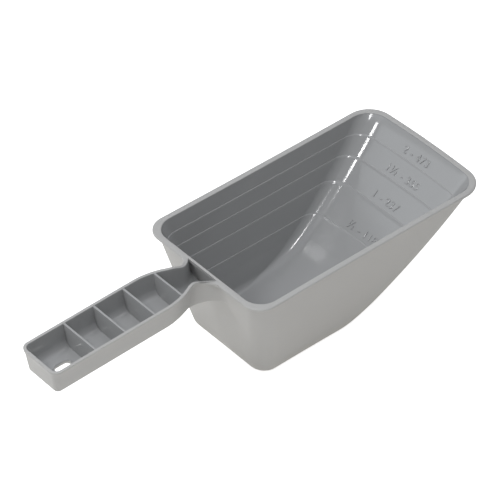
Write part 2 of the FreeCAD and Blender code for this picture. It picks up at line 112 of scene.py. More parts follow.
@dataclass(frozen=True)
class HandleSizes:
    """The handle's sizes, as the model was drawn, in millimetres."""

    length: float = 117.9
    width: float = 30.7
    wall: float = 1.6
    depth: float = 16.5
    draft: float = 2.0
    rise: float = 4.4
    fall: float = 1.57
    edge_r: float = 4.5
    end_corner_r: float = 5.0
    bead_out: float = 0.4
    bead_height: float = 2.0
    waist_width: float = 18.4
    waist_back: float = 13.5
    flare_r: float = 13.2
    shoulder_r: float = 45.0
    top_drop: tuple[float, float] = (19.0, 5.0)
    under_drop: tuple[float, float] = (28.0, 8.0)
    rib_count: int = 4
    rib_pitch: float = 20.75
    rib_first: float = 26.5
    rib_thick: float = 1.4
    rib_drop: float = 0.2
    slot_length: float = 10.4
    slot_width: float = 5.2
    slot_from_end: float = 16.4
    slot_rim_width: float = 1.2
    slot_rim_height: float = 0.8


def lerp(a: float, b: float, t: float) -> float:
    """Straight mix of two numbers."""
    return a + (b - a) * t


def smooth_step(low: float, high: float, value: float) -> float:
    """0 below low, 1 above high, with a soft turn between."""
    t = min(max((value - low) / (high - low), 0.0), 1.0)
    return t * t * (3 - 2 * t)


def arc_points(centre: Point, radius: float, start: float, end: float, steps: int) -> list[Point]:
    """Points along an arc.

    Args:
        centre: The arc's centre.
        radius: Its radius.
        start: First angle, in radians.
        end: Last angle, in radians.
        steps: How many equal turns lie between them.

    Returns:
        steps + 1 points, both ends included.
    """
    return [
        (centre[0] + radius * math.cos(lerp(start, end, i / steps)),
         centre[1] + radius * math.sin(lerp(start, end, i / steps)))
        for i in range(steps + 1)
    ]


def quarter_turn(steps: int, first: int = 0) -> list[Point]:
    """Steps round a quarter circle.

    Args:
        steps: How many equal turns make the quarter.
        first: The step to begin with.

    Returns:
        For each step, 1 - cosine (0 rising to 1) and 1 - sine (1 falling to 0).
    """
    turns = [math.pi / 2 * i / steps for i in range(first, steps + 1)]
    return [(1 - math.cos(turn), 1 - math.sin(turn)) for turn in turns]


def raised(line: Line, lift: float) -> Line:
    """A line that stays a fixed distance above another."""
    return lambda x: line(x) + lift


def between(low: Line, high: Line, share: float) -> Line:
    """A line at a share of the way from one line to another."""
    return lambda x: lerp(low(x), high(x), share)


# ---------------------------------------------------------------- meshes
@dataclass
class Skin:
    """A mesh in the making, in drawn millimetres."""

    shift: float
    corners: list[Point3] = field(default_factory=list)
    faces: list[tuple[int, ...]] = field(default_factory=list)
    sides: list[int] = field(default_factory=list)
    side: int = OUTER_FACE

    def face(self, *numbers: int) -> None:
        """Adds a face on the side that is being made now."""
        self.faces.append(numbers)
        self.sides.append(self.side)

    def row(self, points: Iterable[Point3]) -> list[int]:
        """Adds a row of corners and returns their numbers."""
        first = len(self.corners)
        self.corners.extend(points)
        return list(range(first, len(self.corners)))

    def bridge(self, low: Sequence[int], high: Sequence[int], closed: bool = True) -> None:
        """Quads between two rows of the same length."""
        count = len(low)
        for i in range(count if closed else count - 1):
            j = (i + 1) % count
            self.face(low[i], low[j], high[j], high[i])

    def cap(self, ring: Sequence[int], centre: Point3, upward: bool) -> None:
        """A fan that closes a ring at a centre point."""
        hub = self.row([centre])[0]
        for i, a in enumerate(ring):
            b = ring[(i + 1) % len(ring)]
            self.face(*((a, b, hub) if upward else (b, a, hub)))

    def strip(self, one: Sequence[int], other: Sequence[int]) -> None:
        """Triangles between two paths whose lengths may differ."""
        i, j = 0, 0
        last_i, last_j = len(one) - 1, len(other) - 1
        while i < last_i or j < last_j:
            if i < last_i and (j == last_j or (i + 1) * last_j <= (j + 1) * last_i):
                self.face(one[i], one[i + 1], other[j])
                i += 1
            else:
                self.face(one[i], other[j + 1], other[j])
                j += 1

    def build(self, name: str, angle: float = 30.0, merge: float = 1e-7) -> bpy.types.Object:
        """Makes the Blender object.

        Args:
            name: The piece's name.
            angle: Edges sharper than this, in degrees, stay crisp.
            merge: Corners nearer than this, in metres, become one.

        Returns:
            The finished object, at the origin, unturned and unscaled.
        """
        mesh = bpy.data.meshes.new(name)
        places = [((x + self.shift) * MM, y * MM, z * MM) for x, y, z in self.corners]
        mesh.from_pydata(places, [], self.faces)
        for _ in (OUTER_FACE, INNER_FACE):
            mesh.materials.append(None)
        mesh.polygons.foreach_set("material_index", self.sides)
        draft = bmesh.new()
        draft.from_mesh(mesh)
        bmesh.ops.remove_doubles(draft, verts=draft.verts, dist=merge)
        bmesh.ops.dissolve_degenerate(draft, dist=merge, edges=draft.edges)
        bmesh.ops.recalc_face_normals(draft, faces=draft.faces)
        draft.to_mesh(mesh)
        draft.free()
        return finish_mesh(name, mesh, angle)


def shade(mesh: bpy.types.Mesh, angle: float) -> None:
    """Makes faces smooth, with edges past an angle kept crisp."""
    mesh.polygons.foreach_set("use_smooth", [True] * len(mesh.polygons))
    mesh.set_sharp_from_angle(angle=math.radians(angle))


def finish_mesh(name: str, mesh: bpy.types.Mesh, angle: float) -> bpy.types.Object:
    """Shades a mesh and links it as an object."""
    mesh.validate()
    shade(mesh, angle)
    thing = bpy.data.objects.new(name, mesh)
    bpy.context.scene.collection.objects.link(thing)
    return thing


def bake_modifiers(thing: bpy.types.Object, name: str, angle: float = 30.0) -> bpy.types.Object:
    """Turns an object with modifiers into a plain one and removes the original.

    Args:
        thing: The object whose modifiers are to be baked.
        name: The plain object's name.
        angle: Edges sharper than this, in degrees, stay crisp.

    Returns:
        The plain object.
    """
    bpy.context.view_layer.update()
    graph = bpy.context.evaluated_depsgraph_get()
    mesh = bpy.data.meshes.new_from_object(thing.evaluated_get(graph), depsgraph=graph)
    mesh.transform(thing.matrix_world)
    bpy.data.objects.remove(thing)
    mesh.name = name
    return finish_mesh(name, mesh, angle)


# ---------------------------------------------------------------- finishes
class Tone(Enum):
    """The plastic's colours, as linear colours. The inside one is the same plastic painted darker and cooler,
    as painted shade.
    """

    OUTSIDE = (0.415, 0.415, 0.410)
    # Painted shade: the inside copy of the one plastic is darker and bluer than the outside, standing in for
    # the hollow's dimmer, cooler light.
    INSIDE = (0.335, 0.340, 0.344)


CLOUD_SCALE, CLOUD_DETAIL = 22.0, 3.0       # slow drift of the shade
FLOW_SCALE, FLOW_DETAIL = 60.0, 4.0         # drift of the gloss
GRAIN_SCALE, GRAIN_DETAIL = 2600.0, 2.0     # the mould's own fine grain
WAVE_SCALE = 90.0                           # slight waviness of a cooled wall
SCUFF_TURN = (0.3, 0.2, 0.6)                # lie of the scuffs, in radians
SCUFF_STRETCH = (14.0, 420.0, 260.0)        # long one way, fine the other two
SCUFF_PATCHES = 34.0                        # where scuffs gather
SCUFF_COLOUR = (0.55, 0.55, 0.54, 1.0)
PLASTIC_IOR = 1.49


def make_group(name: str, inputs: dict[str, tuple[str, float | tuple]], outputs: dict[str, str]) -> tuple:
    """A new shader group with its sockets.

    Args:
        name: The group's name.
        inputs: Socket name to (socket type, default).
        outputs: Socket name to socket type.

    Returns:
        The tree, its input node and its output node.
    """
    tree = bpy.data.node_groups.new(name, "ShaderNodeTree")
    for key, (kind, default) in inputs.items():
        socket = tree.interface.new_socket(key, in_out="INPUT", socket_type=kind)
        socket.default_value = default
    for key, kind in outputs.items():
        tree.interface.new_socket(key, in_out="OUTPUT", socket_type=kind)
    return tree, tree.nodes.new("NodeGroupInput"), tree.nodes.new("NodeGroupOutput")


def math_node(tree: bpy.types.NodeTree, kind: str, a: object, b: object, clamp: bool = False) -> object:
    """A maths node fed by sockets or numbers; returns its output."""
    node = tree.nodes.new("ShaderNodeMath")
    node.operation = kind
    node.use_clamp = clamp
    for i, value in enumerate((a, b)):
        if isinstance(value, (int, float)):
            node.inputs[i].default_value = value
        else:
            tree.links.new(value, node.inputs[i])
    return node.outputs[0]


def noise_node(tree: bpy.types.NodeTree, where: object, scale: float, detail: float,
               rough: float = 0.5) -> object:
    """A noise texture read at a coordinate; returns its value output."""
    node = tree.nodes.new("ShaderNodeTexNoise")
    node.inputs["Scale"].default_value = scale
    node.inputs["Detail"].default_value = detail
    node.inputs["Roughness"].default_value = rough
    tree.links.new(where, node.inputs["Vector"])
    return node.outputs["Fac"]


def moulded_skin_group() -> bpy.types.NodeTree:
    """Colour drift, gloss drift and fine tool grain of a moulded skin.

    Returns:
        A group that puts out Colour, Roughness and Height.
    """
    tree, source, sink = make_group(
        "moulded_skin",
        {"Colour": ("NodeSocketColor", (0.3, 0.3, 0.3, 1.0)), "Drift": ("NodeSocketFloat", 0.04),
         "Roughness": ("NodeSocketFloat", 0.3), "Gloss Drift": ("NodeSocketFloat", 0.05),
         "Grain": ("NodeSocketFloat", 0.3)},
        {"Colour": "NodeSocketColor", "Roughness": "NodeSocketFloat", "Height": "NodeSocketFloat"},
    )
    where = tree.nodes.new("ShaderNodeTexCoord").outputs["Object"]
    cloud = noise_node(tree, where, CLOUD_SCALE, CLOUD_DETAIL)
    lift = math_node(tree, "MULTIPLY", math_node(tree, "SUBTRACT", cloud, 0.5), source.outputs["Drift"])
    shade_by = math_node(tree, "ADD", 1.0, lift)
    tint = tree.nodes.new("ShaderNodeVectorMath")
    tint.operation = "SCALE"
    tree.links.new(source.outputs["Colour"], tint.inputs[0])
    tree.links.new(shade_by, tint.inputs["Scale"])
    tree.links.new(tint.outputs[0], sink.inputs["Colour"])
    flow = math_node(tree, "SUBTRACT", noise_node(tree, where, FLOW_SCALE, FLOW_DETAIL, 0.6), 0.5)
    gloss = math_node(tree, "MULTIPLY", flow, source.outputs["Gloss Drift"])
    rough = math_node(tree, "ADD", source.outputs["Roughness"], gloss, True)
    tree.links.new(rough, sink.inputs["Roughness"])
    grain = noise_node(tree, where, GRAIN_SCALE, GRAIN_DETAIL)
    wave = noise_node(tree, where, WAVE_SCALE, 1.0)
    fine = math_node(tree, "MULTIPLY", grain, source.outputs["Grain"])
    tree.links.new(math_node(tree, "ADD", fine, wave), sink.inputs["Height"])
    return tree


def scuff_group() -> bpy.types.NodeTree:
    """Faint handling scuffs, as a mask that raises roughness.

    Returns:
        A group that puts out Roughness and Colour.
    """
    tree, source, sink = make_group(
        "handling_scuffs",
        {"Colour": ("NodeSocketColor", (0.3, 0.3, 0.3, 1.0)), "Roughness": ("NodeSocketFloat", 0.3),
         "Amount": ("NodeSocketFloat", 0.1)},
        {"Colour": "NodeSocketColor", "Roughness": "NodeSocketFloat"},
    )
    where = tree.nodes.new("ShaderNodeTexCoord").outputs["Object"]
    turn = tree.nodes.new("ShaderNodeMapping")
    turn.inputs["Rotation"].default_value = SCUFF_TURN
    turn.inputs["Scale"].default_value = SCUFF_STRETCH
    tree.links.new(where, turn.inputs["Vector"])
    lines = math_node(tree, "SUBTRACT", noise_node(tree, turn.outputs[0], 1.0, 2.0), 0.62)
    patches = math_node(tree, "SUBTRACT", noise_node(tree, where, SCUFF_PATCHES, 2.0), 0.52)
    thin = math_node(tree, "MULTIPLY", lines, 9.0, True)
    gathered = math_node(tree, "MULTIPLY", patches, 6.0, True)
    both = math_node(tree, "MULTIPLY", thin, gathered)
    mask = math_node(tree, "MULTIPLY", both, source.outputs["Amount"])
    rough = math_node(tree, "ADD", source.outputs["Roughness"], mask, True)
    tree.links.new(rough, sink.inputs["Roughness"])
    mix = tree.nodes.new("ShaderNodeMix")
    mix.data_type = "RGBA"
    tree.links.new(math_node(tree, "MULTIPLY", mask, 0.25), mix.inputs["Factor"])
    tree.links.new(source.outputs["Colour"], mix.inputs["A"])
    mix.inputs["B"].default_value = SCUFF_COLOUR
    tree.links.new(mix.outputs["Result"], sink.inputs["Colour"])
    return tree


@dataclass(frozen=True)
class PlasticFinish:
    """A moulded polypropylene surface."""

    name: str
    tone: Tone
    roughness: float = 0.3
    grain: float = 0.3
    grain_depth: float = 0.00002
    drift: float = 0.05
    gloss_drift: float = 0.08
    scuffs: float = 0.12

    def material(self, skin: bpy.types.NodeTree, scuffs: bpy.types.NodeTree) -> bpy.types.Material:
        """Builds the material.

        Args:
            skin: The shared moulded skin group.
            scuffs: The shared scuff group.

        Returns:
            The finished material.
        """
        made = bpy.data.materials.new(self.name)
        made.use_nodes = True
        tree = made.node_tree
        shader = tree.nodes["Principled BSDF"]
        shader.inputs["IOR"].default_value = PLASTIC_IOR
        base = tree.nodes.new("ShaderNodeGroup")
        base.node_tree = skin
        base.inputs["Colour"].default_value = (*self.tone.value, 1.0)
        base.inputs["Drift"].default_value = self.drift
        base.inputs["Roughness"].default_value = self.roughness
        base.inputs["Gloss Drift"].default_value = self.gloss_drift
        base.inputs["Grain"].default_value = self.grain
        wear = tree.nodes.new("ShaderNodeGroup")
        wear.node_tree = scuffs
        wear.inputs["Amount"].default_value = self.scuffs
        tree.links.new(base.outputs["Colour"], wear.inputs["Colour"])
        tree.links.new(base.outputs["Roughness"], wear.inputs["Roughness"])
        tree.links.new(wear.outputs["Colour"], shader.inputs["Base Color"])
        tree.links.new(wear.outputs["Roughness"], shader.inputs["Roughness"])
        bump = tree.nodes.new("ShaderNodeBump")
        bump.inputs["Strength"].default_value = 0.25
        bump.inputs["Distance"].default_value = self.grain_depth
        tree.links.new(base.outputs["Height"], bump.inputs["Height"])
        tree.links.new(bump.outputs["Normal"], shader.inputs["Normal"])
        return made


# ---------------------------------------------------------------- bucket
@dataclass
class Bucket:
    """Tapered bucket: walls, floor, rim flange, volume ledges and figures."""

    sizes: BucketSizes
    shift: float
    side_steps: int = 28
    front_steps: int = 28
    corner_steps: int = 14
    edge_steps: int = 16
    wall_steps: int = 18
    inner_steps: int = 26
    round_steps: int = 6
    back_marks: tuple[float, ...] = (
        0.12, 0.24, 0.34, 0.38, 0.41, 0.44, 0.47, 0.50, 0.54, 0.60, 0.70, 0.85)
    under_lip_r: float = 0.8
    under_lip_reach: float = 0.42
    lip_round: float = 0.75
    mouth_round: float = 0.55
    lip_gap: tuple[float, float] = (14.4, 16.2)
    band_sunk: float = -0.4
    ledge_soft: float = 0.07
    band_steps: int = 10

    def outline(self, back: float, front: float, half: float, r_back: float, r_front: float,
                side_bow: float, front_bow: float) -> list[Point]:
        """Plan outline with a straight back and bowed sides and front.

        Args:
            back: Where the back edge lies along X.
            front: Where the front edge lies on the middle line.
            half: Half the width at the corners.
            r_back: Back corner radius.
            r_front: Front corner radius.
            side_bow: How far the sides bow in.
            front_bow: How far the front bows out.

        Returns:
            Points running counter-clockwise from the back right corner.
        """
        middle, reach = (back + front) / 2, (front - back) / 2
        side_r = (reach ** 2 + side_bow ** 2) / (2 * side_bow)
        end_r = (half ** 2 + front_bow ** 2) / (2 * front_bow)
        side_c = (middle, half - side_bow + side_r)
        end_c = (front - end_r, 0.0)
        front_c = touching(side_c, side_r + r_front, end_c, end_r - r_front, (front, half))
        bx = back + r_back
        back_c = (bx, side_c[1] - math.sqrt((side_r + r_back) ** 2 - (bx - middle) ** 2))
        turn_side = math.atan2(side_c[1] - front_c[1], side_c[0] - front_c[0])
        turn_end = math.atan2(front_c[1], front_c[0] - end_c[0])
        turn_back = math.atan2(side_c[1] - back_c[1], side_c[0] - back_c[0])
        front_corner = arc_points(front_c, r_front, turn_end, turn_side, self.corner_steps)
        back_corner = arc_points(back_c, r_back, turn_back, math.pi, self.corner_steps)
        start = math.atan2(front_corner[-1][1] - side_c[1], front_corner[-1][0] - side_c[0])
        stop = math.atan2(back_corner[0][1] - side_c[1], back_corner[0][0] - side_c[0])
        side = arc_points(side_c, side_r, start, stop, self.side_steps)
        left = front_corner[:-1] + side[:-1] + back_corner
        half_front = arc_points(end_c, end_r, 0.0, turn_end, self.front_steps // 2)
        yb = back_corner[-1][1]
        half_back = [(back, yb * q) for q in reversed(self.back_marks)]
        upper = half_front[:-1] + left + half_back + [(back, 0.0)]
        lower = [(x, -y) for x, y in reversed(upper[1:-1])]
        return upper + lower

    def lean(self, setback: float) -> float:
        """A wall's lean from upright, in radians."""
        return math.atan(setback / self.sizes.height)

    def slope_centre(self) -> Point:
        """Centre of the front slope's long curve, in the side view."""
        s, turn = self.sizes, math.radians(self.sizes.slope_rim_angle)
        return s.rim_length - s.slope_r * math.sin(turn), s.height + s.slope_r * math.cos(turn)

    def foot_centre(self) -> Point:
        """Centre of the curve between the slope and the floor, in the side view."""
        s, (cx, cz) = self.sizes, self.slope_centre()
        z = s.wall + s.slope_foot_r
        return cx + math.sqrt((s.slope_r - s.slope_foot_r) ** 2 - (cz - z) ** 2), z

    def foot_height(self, skin: float) -> float:
        """Height at which the slope's long curve begins."""
        s, (cx, cz), (fx, fz) = self.sizes, self.slope_centre(), self.foot_centre()
        return fz + (fz - cz) / (s.slope_r - s.slope_foot_r) * (s.slope_foot_r + skin)

    def slope_front(self, z: float, skin: float = 0.0) -> float:
        """The front slope's face at height z, on the middle line."""
        if z < self.foot_height(skin):
            (cx, cz), radius = self.foot_centre(), self.sizes.slope_foot_r + skin
        else:
            (cx, cz), radius = self.slope_centre(), self.sizes.slope_r + skin
        return cx + math.sqrt(max(radius ** 2 - (cz - z) ** 2, 0.0))

    def slope_rate(self, z: float) -> float:
        """Forward run of the slope per unit of height."""
        rise = self.slope_centre()[1] - max(z, self.foot_height(0.0))
        return rise / math.sqrt(self.sizes.slope_r ** 2 - rise ** 2)

    def edge_pull(self, z: float, lean: float, radius: float) -> float:
        """How far the rounded floor edge pulls the outline in at height z."""
        if z >= radius * (1 - math.sin(lean)):
            return 0.0
        centre = math.tan(lean) * radius - radius / math.cos(lean)
        return math.tan(lean) * z - centre - math.sqrt(max(radius ** 2 - (radius - z) ** 2, 0.0))

    def section(self, z: float, skin: float, inset: float = 0.0) -> list[Point3]:
        """Ring of the bucket at height z.

        Args:
            z: Height above the underside.
            skin: 0 for the inside face, the wall's thickness for the outside.
            inset: Extra distance inward.

        Returns:
            The ring's points.
        """
        s = self.sizes
        base, share = s.wall - skin, max(z, 0.0) / s.height
        side, back_lean, edge_r = self.lean(s.side_setback), self.lean(s.back_setback), s.floor_edge_r + skin
        pull = self.edge_pull(z - base, side, edge_r)
        pull_back = self.edge_pull(z - base, back_lean, edge_r)
        half = s.rim_width / 2 - s.side_setback * (1 - share) + skin / math.cos(side) - pull - inset
        back = s.back_setback * (1 - share) - skin / math.cos(back_lean) + pull_back + inset
        front = self.slope_front(z, skin) - inset * math.sqrt(1 + self.slope_rate(z) ** 2)
        corners = []
        for radii in (s.out_back, s.out_front) if skin else (s.in_back, s.in_front):
            radius = radii.at(share) - inset
            corners.append(max(radius - pull, radius / s.corner_shrink))
        bows = [lerp(s.floor_bow, bow, share) for bow in (s.side_bow, s.front_bow)]
        return [(x, y, z) for x, y in self.outline(back, front, half, *corners, *bows)]

    def rim_ring(self, z: float, out: float) -> list[Point3]:
        """Ring that follows the mouth's edge, out from it by a distance."""
        s, half = self.sizes, self.sizes.rim_width / 2 + out
        share = max(out, 0.0) / s.lip_width
        back_r = lerp(s.in_back.rim, s.lip_back_r, share)
        front_r = lerp(s.in_front.rim, s.lip_front_r, share)
        points = self.outline(-out, s.rim_length + out, half, back_r, front_r, s.side_bow, s.front_bow)
        return [(x, y, z) for x, y in points]

    def lip_ring(self, z: float, out: float) -> list[Point3]:
        """Flange ring, drawn back to the wall between the handle's two flares."""
        wall = self.sizes.wall / math.cos(self.lean(self.sizes.back_setback))
        wide, tight = self.rim_ring(z, out), self.rim_ring(z, min(out, wall + 0.03))
        ring = []
        for (x, y, _), (xt, yt, _) in zip(wide, tight):
            share = 1.0 if x > 2.0 else smooth_step(*self.lip_gap, abs(y))
            ring.append((lerp(xt, x, share), lerp(yt, y, share), z))
        return ring

    def outer_rings(self) -> list[Ring]:
        """Rings up the outside, from the floor into the hollow under the flange."""
        s, edge_steps, wall_steps = self.sizes, self.edge_steps, self.wall_steps
        under = s.height - s.lip_thick
        foot, wall_top = self.foot_height(s.wall), under - self.under_lip_r
        levels = [foot * (i / edge_steps) ** 2 for i in range(edge_steps + 1)]
        levels += [lerp(foot, wall_top, i / wall_steps) for i in range(1, wall_steps + 1)]
        rings = [self.section(z, s.wall) for z in levels]
        base, edge = rings[-1], self.lip_ring(under, s.lip_width)
        for bend, left in quarter_turn(self.round_steps, 1):
            share, z = self.under_lip_reach * bend, wall_top + self.under_lip_r * (1 - left)
            rings.append([(lerp(a[0], b[0], share), lerp(a[1], b[1], share), z) for a, b in zip(base, edge)])
        return rings

    def lip_rings(self) -> list[Ring]:
        """Rings out under the flange, round its edge and in over the mouth's rounding."""
        s, r, m = self.sizes, self.lip_round, self.mouth_round
        top, under, reach = s.height, s.height - s.lip_thick, s.lip_width - r
        part, whole = quarter_turn(self.round_steps, 1), quarter_turn(self.round_steps)
        rings = [self.lip_ring(under, reach)]
        rings += [self.lip_ring(under + r * bend, s.lip_width - r * left) for bend, left in part]
        rings += [self.lip_ring(top - r * left, s.lip_width - r * bend) for bend, left in part]
        rings.append(self.lip_ring(top, lerp(m, reach, 0.5)))
        rings += [self.rim_ring(top - m * bend, m * left) for bend, left in whole]
        return rings

    def inner_rings(self) -> list[Ring]:
        """Rings down the inside, from the mouth to the floor."""
        s, foot, steps, edge_steps = self.sizes, self.foot_height(0.0), self.inner_steps, self.edge_steps
        levels = [lerp(s.height - self.mouth_round, foot, i / steps) for i in range(1, steps + 1)]
        levels += [s.wall + (foot - s.wall) * (i / edge_steps) ** 2 for i in reversed(range(edge_steps))]
        return [self.section(z, 0.0) for z in levels]

    def shell(self) -> bpy.types.Object:
        """The bucket's closed skin, from the floor over the rim and back down.

        Returns:
            The bucket shell.
        """
        skin = Skin(self.shift)
        rings = self.outer_rings() + self.lip_rings()
        mouth = len(rings) - self.round_steps // 2
        rings += self.inner_rings()
        rows = [skin.row(ring) for ring in rings]
        self.close_floor(skin, rows[0], rings[0], False)
        for number, (low, high) in enumerate(zip(rows, rows[1:])):
            # From the mouth inward the faces take the inner finish, whose darker, cooler colour is painted
            # shade.
            skin.side = INNER_FACE if number >= mouth else OUTER_FACE
            skin.bridge(low, high)
        self.close_floor(skin, rows[-1], rings[-1], True)
        return skin.build("bucket_shell")

    def close_floor(self, skin: Skin, row: Sequence[int], ring: Sequence[Point3], upward: bool) -> None:
        """Closes a flat floor with shrinking rings and a small fan."""
        cx = sum(p[0] for p in ring) / len(ring)
        z = ring[0][2]
        last = list(row)
        for share in (0.7, 0.4):
            new = skin.row([(lerp(cx, x, share), y * share, z) for x, y, _ in ring])
            if upward:
                skin.bridge(last, new)
            else:
                skin.bridge(new, last)
            last = new
        skin.cap(last, (cx, 0.0, z), upward)

    def ledge_band(self, number: int) -> bpy.types.Object:
        """One graduation: a tapered band that ends upward in a small ledge.

        Args:
            number: 0 for the lowest ledge.

        Returns:
            The band, closed, with its back sunk in the wall.
        """
        s, sunk, soft, steps = self.sizes, self.band_sunk, self.ledge_soft, self.band_steps
        heights = [s.height - drop for drop in s.ledge_drops]
        high, foot = heights[number], s.ledge_foot * 0.5
        low = heights[number - 1] if number else self.foot_height(0.0)
        profile = [(low, foot), (low, sunk)]
        profile += [(lerp(low, high, i / 5), sunk) for i in range(1, 6)]
        profile += [(high, s.ledge_step - soft), (high - soft * 0.4, s.ledge_step - soft * 0.3)]
        profile += [(lerp(high - soft, low, i / steps), lerp(s.ledge_step, foot, i / steps))
                    for i in range(steps)]
        skin = Skin(self.shift)
        rows = [skin.row(self.section(z, 0.0, inset)) for z, inset in profile]
        for a, b in zip(rows, rows[1:] + rows[:1]):
            skin.bridge(b, a)
        return skin.build("ledge_band_%d" % (number + 1))

    def slope_frame(self, number: int) -> tuple[Vector, Vector, Vector, Vector]:
        """The slope just above a ledge.

        Args:
            number: 0 for the lowest ledge.

        Returns:
            A point on the ledge's edge, and the ways across, up and out of the slope.
        """
        s = self.sizes
        heights = [s.height - drop for drop in s.ledge_drops] + [s.height]
        low, high = heights[number], heights[number + 1]
        step = 0.0 if number == len(s.ledge_drops) - 1 else s.ledge_step
        foot = Vector((self.slope_front(low), 0.0, low))
        reach = self.slope_front(high) - step * math.sqrt(1 + self.slope_rate(high) ** 2)
        up = (Vector((reach, 0.0, high)) - foot).normalized()
        across = Vector((0.0, -1.0, 0.0))
        return foot, across, up, across.cross(up)

    def figure_row(self, number: int, figures: "Figures", text: str) -> bpy.types.Object:
        """A row of raised figures above a ledge on the front slope.

        Args:
            number: 0 for the lowest ledge.
            figures: The figures' sizes.
            text: The figures.

        Returns:
            The row as a plain mesh.
        """
        foot, across, up, out = self.slope_frame(number)
        mesh = figures.mesh(text)
        lift = (figures.raised - figures.sunk) / 2 - figures.bevel
        origin = foot + up * figures.gap + out * lift
        place = Matrix((
            (across.x, up.x, out.x, origin.x + self.shift),
            (across.y, up.y, out.y, origin.y),
            (across.z, up.z, out.z, origin.z),
            (0.0, 0.0, 0.0, 1.0),
        ))
        mesh.transform(Matrix.Scale(MM, 4) @ place)
        clean = bmesh.new()
        clean.from_mesh(mesh)
        bmesh.ops.remove_doubles(clean, verts=clean.verts, dist=figures.merge)
        bmesh.ops.dissolve_degenerate(clean, dist=figures.merge, edges=clean.edges)
        bmesh.ops.recalc_face_normals(clean, faces=clean.faces)
        clean.to_mesh(mesh)
        clean.free()
        mesh.name = "measure_figures_%d" % (number + 1)
        return finish_mesh(mesh.name, mesh, 35.0)


@dataclass(frozen=True)
class Figures:
    """Raised figures, in millimetres (the merge distance is in metres)."""

    height: float = 4.8
    gap: float = 2.5
    raised: float = 0.35
    sunk: float = 0.5
    spacing: float = 1.08
    thinner: float = 0.012
    bevel: float = 0.05
    merge: float = 2e-6
    cap_share: float = 0.7

    def mesh(self, text: str) -> bpy.types.Mesh:
        """A line of text as a plain mesh, flat on the ground and centred."""
        curve = bpy.data.curves.new("figures", "FONT")
        curve.body, curve.align_x = text, "CENTER"
        curve.size, curve.space_character = self.height / self.cap_share, self.spacing
        curve.offset, curve.extrude = -self.thinner, (self.raised + self.sunk) / 2
        curve.bevel_depth, curve.bevel_resolution, curve.resolution_u = self.bevel, 1, 6
        draft = bpy.data.objects.new("figures", curve)
        bpy.context.scene.collection.objects.link(draft)
        bpy.context.view_layer.update()
        graph = bpy.context.evaluated_depsgraph_get()
        mesh = bpy.data.meshes.new_from_object(draft.evaluated_get(graph), depsgraph=graph)
        bpy.data.objects.remove(draft)
        return mesh


def touching(c1: Point, d1: float, c2: Point, d2: float, near: Point) -> Point:
    """Point at distance d1 from c1 and d2 from c2, nearest to a guess."""
    gx, gy = c2[0] - c1[0], c2[1] - c1[1]
    gap = math.hypot(gx, gy)
    along = (d1 * d1 - d2 * d2 + gap * gap) / (2 * gap)
    across = math.sqrt(d1 * d1 - along * along)
    ux, uy = gx / gap, gy / gap
    options = [(c1[0] + ux * along - uy * across * s, c1[1] + uy * along + ux * across * s) for s in (1, -1)]
    return min(options, key=lambda p: math.hypot(p[0] - near[0], p[1] - near[1]))


